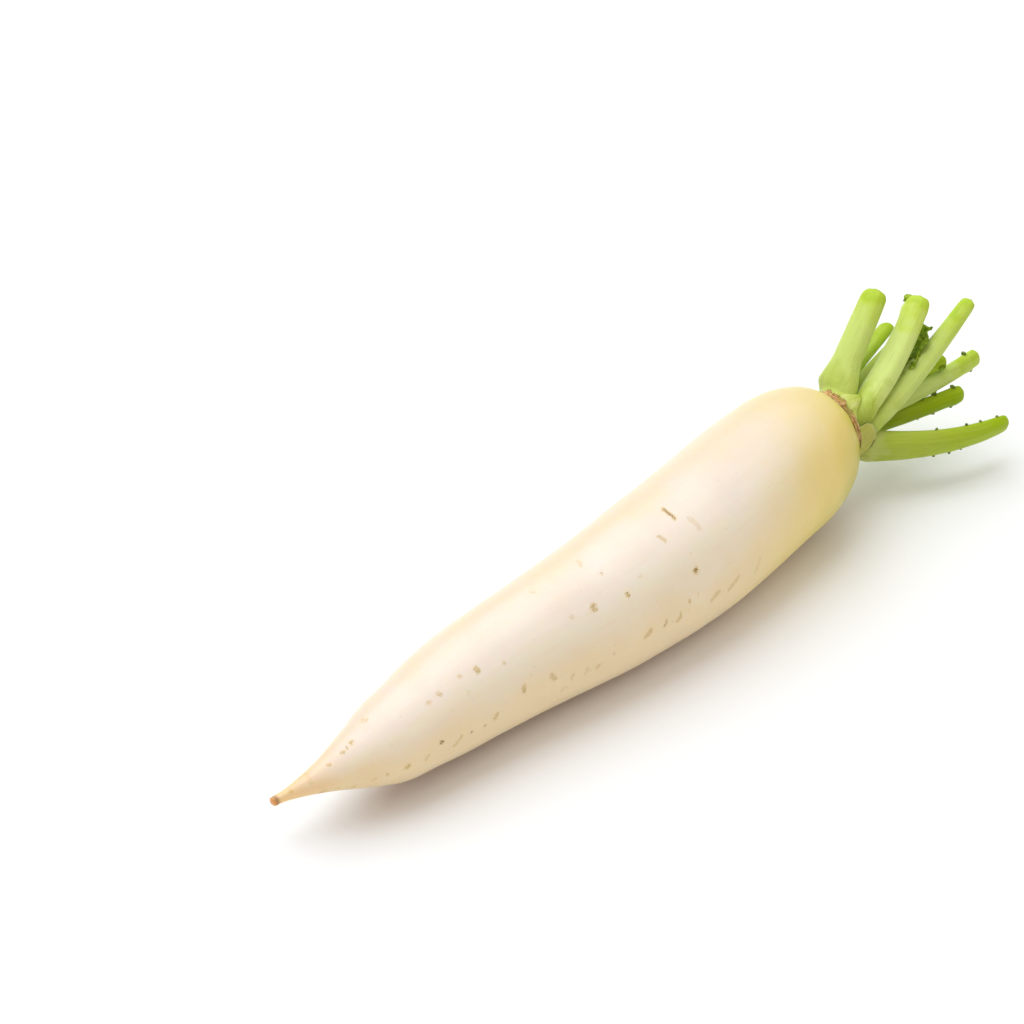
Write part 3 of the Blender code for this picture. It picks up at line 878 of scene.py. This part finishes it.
def sheath(shape, arc, rows, shape_of, thickness):
    """A bent plate: shape_of(share round, share along) gives along, radius and angle."""
    grain = shape.verts.layers.float_vector["grain"]
    growth = shape.verts.layers.float_vector["growth"]
    made = bmesh.ops.create_grid(shape, x_segments=arc, y_segments=rows, size=0.5)["verts"]
    for vertex in made:
        round_share, along_share = vertex.co.x + 0.5, vertex.co.y + 0.5
        along, radius, angle = shape_of(round_share, along_share)
        vertex.co = around_axis(along, radius, angle)
        unbent = Vector((math.radians(angle) * radius, along, radius)) / MM
        vertex[grain] = unbent
        edge = max(along_share, abs(2 * round_share - 1) ** 3)
        vertex[growth] = Vector((edge, along_share, round_share))
    faces = {face for vertex in made for face in vertex.link_faces}
    bmesh.ops.solidify(shape, geom=list(faces), thickness=thickness)


def plate_bmesh():
    shape = bmesh.new()
    shape.verts.layers.float_vector.new("grain")
    shape.verts.layers.float_vector.new("growth")
    return shape


COLLAR_STRIPS = 14
COLLAR_ROUNDS = 2
COLLAR_AT = 0.3484
COLLAR_RADIUS = 0.0163
COLLAR_WIDTH = 0.0034
# Each layer lies this much further out and reaches this much further on than the last.
LAYER_STEP = 0.0005
LAYER_REACH = 0.0006
LAYER_STAND = 0.0006
LAYER_WAVE = 0.0003
COLLAR_CURL = 0.0008
COLLAR_THICKNESS = 0.00028
# From this angle on the collar is narrower, by this share over so many degrees.
NARROW_FROM = 118
NARROWER = 0.45
NARROW_OVER = 30


def make_collar(finish):
    """Torn, dried margins of the oldest leaf bases, wrapped round the neck in layers."""
    chance = random.Random(4)
    shape = plate_bmesh()
    for number in range(COLLAR_STRIPS):
        start = number * 360 * COLLAR_ROUNDS / COLLAR_STRIPS + chance.uniform(-10, 10)
        span = chance.uniform(60, 110)
        level = number % 3
        seed = chance.uniform(0, 90)

        def torn(round_share, along_share):
            angle = start + span * round_share
            taper = math.sin(math.pi * min(1, max(0, round_share))) ** 0.5
            ragged = wander(Vector((angle / 7, seed, along_share)), 1.0)
            ragged += 0.5 * wander(Vector((angle / 2.4, seed, along_share)), 1.0)
            narrow = 1 - NARROWER * smooth((angle % 360 - NARROW_FROM) / NARROW_OVER)
            reach = (COLLAR_WIDTH + LAYER_REACH * level) * narrow * taper * (1 + 0.5 * ragged)
            along = COLLAR_AT + LAYER_REACH * level + reach * along_share
            wavy = LAYER_WAVE * wander(Vector((angle / 9, seed, 2)), 1.0)
            lift = LAYER_STAND + LAYER_STEP * level + wavy
            curl = COLLAR_CURL * along_share * (0.6 + ragged)
            return along, COLLAR_RADIUS + lift + curl, angle

        sheath(shape, 50, 4, torn, COLLAR_THICKNESS)
    return finish_piece("dry_collar", shape, [finish], ["crown_collar"])


LEAF_BASES_AT = 0.3512
LEAF_BASE_BULGE = 0.0009
LEAF_BASE_GRAIN = 0.0002
LEAF_BASE_LEAN = 0.0010
LEAF_BASE_THICKNESS = 0.0011
# start angle, span, (share round, millimetres along) pairs, radius, roughness, seed
LEAF_BASES = (
    (
        64,
        96,
        (
            (0, 9), (0.33, 9.8), (0.46, 13.6), (0.57, 14.6), (0.65, 11.0), (0.73, 7.0), (0.85, 3.6),
            (1, 1.4),
        ),
        0.0167,
        0.1,
        3.0,
    ),
    (74, 62, ((0, 4.2), (0.45, 4.2), (1, 2.6)), 0.0173, 0.6, 8.0),
    (255, 60, ((0, 5.2), (1, 4.0)), 0.0164, 0.5, 21.0),
    (310, 66, ((0, 5.8), (1, 5.0)), 0.0165, 0.5, 29.0),
    (8, 58, ((0, 6.0), (1, 5.0)), 0.0165, 0.5, 37.0),
)


def make_leaf_bases(finish):
    """Stumps of leaf bases cut flush earlier, between the collar and the stalks."""
    shape = plate_bmesh()
    for start, span, reaches, radius, rough, seed in LEAF_BASES:

        def base(round_share, along_share):
            angle = start + span * round_share
            taper = math.sin(math.pi * min(1, max(0, round_share))) ** 0.35
            ragged = wander(Vector((angle / 5, seed, 0)), 1.0)
            ragged += 0.5 * wander(Vector((angle / 1.7, seed, 0)), 1.0)
            reach = read_curve(reaches, round_share) * MM
            along = LEAF_BASES_AT + reach * taper * (1 + 0.4 * rough * ragged) * along_share
            bulge = LEAF_BASE_BULGE * math.sin(math.pi * along_share)
            stand = radius + bulge + LEAF_BASE_GRAIN * ragged - LEAF_BASE_LEAN * along_share**2
            return along, stand, angle

        sheath(shape, 44, 9, base, LEAF_BASE_THICKNESS)
    return finish_piece("old_leaf_bases", shape, [finish])


SCALE_ANGLE = 185
SCALE_HALF_SPAN = 30
SCALE_AT = 0.3522
SCALE_LENGTH = 0.0108
SCALE_RADIUS = 0.0183
SCALE_FLARE = 0.0008
SCALE_WAVE = 0.00025
SCALE_THICKNESS = 0.0010


def make_scale(finish):
    """The cut base of one old leaf, standing a little proud of the stalks behind it."""
    shape = plate_bmesh()

    def scale(round_share, along_share):
        across = 2 * round_share - 1
        angle = SCALE_ANGLE + SCALE_HALF_SPAN * across
        round_edge = math.sqrt(max(0.0, 1 - (0.93 * abs(across)) ** 2.4))
        along = SCALE_AT + SCALE_LENGTH * round_edge * along_share
        stand = SCALE_RADIUS + SCALE_FLARE * along_share
        stand += SCALE_WAVE * wander(Vector((angle / 9, along_share * 2, 5)), 1.0)
        return along, stand, angle

    sheath(shape, 36, 14, scale, SCALE_THICKNESS)
    return finish_piece("cut_leaf_base", shape, [finish], ["leaf_base_scale"])


HEART_LEAF_STATIONS = (
    (0.0008, 0.0043, 111), (0.0160, 0.0078, 114), (0.0314, 0.0133, 118), (0.0440, 0.0222, 107),
    (0.0555, 0.0315, 101),
)
HEART_PETIOLE_SHARE = 0.46
HEART_LEAF_WIDTH = 0.0150
HEART_LEAF_ROLL = 23
HEART_PETIOLE_HALF_WIDTH = 0.0012
HEART_LEAF_CRINKLE = 0.0017
HEART_LEAF_WAVE = 0.0012
HEART_LEAF_KEEL = 0.0022
HEART_LEAF_THICKNESS = 0.0006
HEART_LEAF_LOBES = 0.22
SCRAP_SUNK = 0.0024
SCRAP_THICKNESS = 0.0004


def make_heart_leaf(finishes):
    """Young leaf: a thin petiole, then a crinkled blade with a wavy edge."""
    stations = [
        tuple(around_axis(CROWN_AT + along, radius, angle))
        for along, radius, angle in HEART_LEAF_STATIONS
    ]
    midline = [Vector(point) for point in smooth_through(stations, 14)]
    last = len(midline) - 1
    shape = bmesh.new()
    grain = shape.verts.layers.float_vector.new("grain")
    bmesh.ops.create_grid(shape, x_segments=last, y_segments=26, size=0.5)
    for vertex in shape.verts:
        place = round((vertex.co.x + 0.5) * last)
        share = place / last
        across = 2 * vertex.co.y
        ahead = (midline[min(place + 1, last)] - midline[max(place - 1, 0)]).normalized()
        side = Matrix.Rotation(math.radians(-HEART_LEAF_ROLL), 3, ahead) @ Vector((0, 1, 0))
        side = (side - ahead * side.dot(ahead)).normalized()
        up = ahead.cross(side)
        blade = max(0.0, (share - HEART_PETIOLE_SHARE) / (1 - HEART_PETIOLE_SHARE))
        wide = 0.35 + 0.65 * math.sin(math.pi * (0.15 + 0.75 * blade))
        lobes = 1 + HEART_LEAF_LOBES * math.sin(20 * blade + 2 * (across > 0)) * abs(across)
        half = HEART_PETIOLE_HALF_WIDTH
        half += (0.5 * HEART_LEAF_WIDTH * wide * lobes - half) * smooth(5 * blade)
        crinkle = HEART_LEAF_CRINKLE * wander(Vector((20 * blade, 2.2 * across, 1.5)), 1.0)
        crinkle += HEART_LEAF_WAVE * abs(across) ** 2 * math.sin(26 * blade + 3 * across)
        crinkle *= smooth(6 * blade)
        keel = -HEART_LEAF_KEEL * (1 - abs(across)) * smooth(4 * blade)
        vertex.co = midline[place] + side * (half * across) + up * (crinkle + keel)
        vertex[grain] = Vector((share * 62, half * across / MM, 0))
    bmesh.ops.solidify(shape, geom=shape.faces[:], thickness=HEART_LEAF_THICKNESS)
    return finish_piece("heart_leaf_blade", shape, finishes, ["heart_leaf"])


def torn_scrap(shape, place, ahead, side, length, width, seed):
    """A crinkled bit of blade left on a stalk."""
    grain = shape.verts.layers.float_vector["grain"]
    made = bmesh.ops.create_grid(shape, x_segments=12, y_segments=10, size=0.5)["verts"]
    up = ahead.cross(side)
    for vertex in made:
        share, across = vertex.co.x + 0.5, 2 * vertex.co.y
        ragged = 1 + 0.5 * wander(Vector((share * 4, across * 3, seed)), 1.0)
        half = 0.5 * width * math.sin(math.pi * (0.2 + 0.7 * share)) * ragged
        wave = 0.22 * width * wander(Vector((share * 5, across * 2.5, seed + 7)), 1.0)
        vertex.co = place + ahead * (length * share) + side * (half * across) + up * wave
        vertex[grain] = Vector((share * length, half * across, seed * MM)) / MM
    faces = {face for vertex in made for face in vertex.link_faces}
    bmesh.ops.solidify(shape, geom=list(faces), thickness=SCRAP_THICKNESS)


# share of the stalk's length, angle round its section, length, width, how much it points on
SCRAPS = {
    "leaf_stalk_front": ((0.94, 12, 0.0046, 0.0050, 0.9),),
    "inner_stalk_middle": ((0.62, 178, 0.0060, 0.0046, 0.3), (0.52, 176, 0.0048, 0.0040, 0.2)),
    "leaf_stalk_low": ((0.62, 178, 0.0030, 0.0026, 0.3),),
    "inner_stalk_low": ((0.90, 60, 0.0052, 0.0056, 0.7), (0.93, 130, 0.0046, 0.0052, 0.9)),
}


def make_scraps(finish):
    """Torn bits of leaf blade still joined to their stalks."""
    shape = bmesh.new()
    shape.verts.layers.float_vector.new("grain")
    seed = 1.0
    for name, scraps in SCRAPS.items():
        row = dict(zip(STALK_FIELDS, STALKS[name]))
        stations = stalk_stations(row)
        for share, angle, length, width, forward in scraps:
            station = min(stations, key=lambda s: abs(s[0] - share * row["length"]))
            place, _ = stalk_point(row, name, station, math.radians(angle))
            centre, ahead, round_side, _side = stalk_frame(row, station)
            away = (place - centre).normalized()
            out = (away + ahead * forward).normalized()
            place -= away * SCRAP_SUNK
            across = ahead.cross(out).cross(out).normalized()
            torn_scrap(shape, place, out, across, length, width, seed)
            seed += 3.7
    return finish_piece("torn_leaf_bits", shape, [finish])


# ---- stage, light and camera

FLOOR_SIZE = 12.0
FLOOR_DROP = 0.0002
SOFTBOX_AT = (0.0, 0.60, 1.25)
SOFTBOX_SIZE = 1.6
SOFTBOX_WATTS = 17.0
SOFTBOX_COLOUR = (0.84, 0.95, 1.0)
AIR_COLOUR = (1.0, 0.93, 0.895, 1.0)
CAMERA_AT = (-0.6801, -0.6249, 0.7558)
CAMERA_AZIMUTH = -43.317
CAMERA_ELEVATION = 36.876
CAMERA_ROLL = -0.827
CAMERA_LENS = 90.47


def white_sweep(_add):
    """Matt white card under the radish, smooth and without gloss."""
    return {"Base Color": linear("#FAFAFA"), "Roughness": 0.9, "Specular IOR Level": 0.1}


def make_floor():
    shape = bmesh.new()
    bmesh.ops.create_grid(shape, x_segments=1, y_segments=1, size=FLOOR_SIZE / 2)
    mesh = bpy.data.meshes.new("floor")
    shape.to_mesh(mesh)
    shape.free()
    mesh.transform(Matrix.Translation((0, 0, -FLOOR_DROP)))
    mesh.materials.append(make_finish("white_sweep", white_sweep))
    floor = bpy.data.objects.new("floor", mesh)
    bpy.context.scene.collection.objects.link(floor)


def add_softbox():
    lamp = bpy.data.lights.new("key_softbox", "AREA")
    lamp.shape = "SQUARE"
    lamp.size = SOFTBOX_SIZE
    lamp.energy = SOFTBOX_WATTS
    lamp.color = SOFTBOX_COLOUR
    box = bpy.data.objects.new("key_softbox", lamp)
    box.location = SOFTBOX_AT
    box.rotation_mode = "QUATERNION"
    box.rotation_quaternion = Vector(SOFTBOX_AT).to_track_quat("Z", "Y")
    bpy.context.scene.collection.objects.link(box)


def light_stage():
    """One large softbox above and behind, in a pale surround of slightly warmer light."""
    world = bpy.data.worlds.new("studio_air")
    world.use_nodes = True
    tree = world.node_tree
    air = tree.nodes["Background"]
    air.inputs["Color"].default_value = AIR_COLOUR
    way = add_node(tree, "TexCoord", out="Generated")
    height = add_node(tree, "SeparateXYZ", {0: way}, out="Z")
    # Bright overhead, dimmer above the walls, and a pale wall low down.
    stops = [(0.0, "#D0D0D0"), (0.14, "#D0D0D0"), (0.24, "#989898"), (1.0, "#F8F8F8")]
    strength = add_node(tree, "ValToRGB", {0: height}, stops)
    tree.links.new(strength, air.inputs["Strength"])
    bpy.context.scene.world = world
    add_softbox()
    bpy.context.scene.view_settings.view_transform = "Standard"


def make_camera():
    turn, rise, roll = (
        math.radians(angle) for angle in (CAMERA_AZIMUTH, CAMERA_ELEVATION, CAMERA_ROLL)
    )
    back = Vector(
        (math.sin(turn) * math.cos(rise), -math.cos(turn) * math.cos(rise), math.sin(rise))
    )
    level = Vector((math.cos(turn), math.sin(turn), 0))
    upright = back.cross(level)
    right = level * math.cos(roll) + upright * math.sin(roll)
    camera = bpy.data.cameras.new("camera")
    camera.lens = CAMERA_LENS
    camera.sensor_width = 36.0
    holder = bpy.data.objects.new("camera", camera)
    holder.location = CAMERA_AT
    holder.rotation_mode = "QUATERNION"
    holder.rotation_quaternion = Matrix((right, back.cross(right), back)).transposed().to_quaternion()
    bpy.context.scene.collection.objects.link(holder)
    bpy.context.scene.camera = holder


make_camera()
light_stage()
make_floor()
make_root(make_finish("daikon_skin", daikon_skin))
stalk_finishes = [
    make_finish("leaf_stalk_skin", stalk_skin), make_finish("cut_stalk_end", cut_stalk),
    make_finish("cut_leaflet_stump", cut_leaflet),
]
for number, stalk in enumerate(STALKS):
    make_stalk(stalk, stalk_finishes, random.Random(number))
blade = make_finish("young_leaf_blade", young_leaf_blade)
make_collar(make_finish("dry_leaf_fibre", dry_fibre))
make_leaf_bases(make_finish("green_leaf_base", green_leaf_base))
make_scale(make_finish("olive_leaf_base", olive_leaf_base))
make_heart_leaf([blade])
make_scraps(blade)
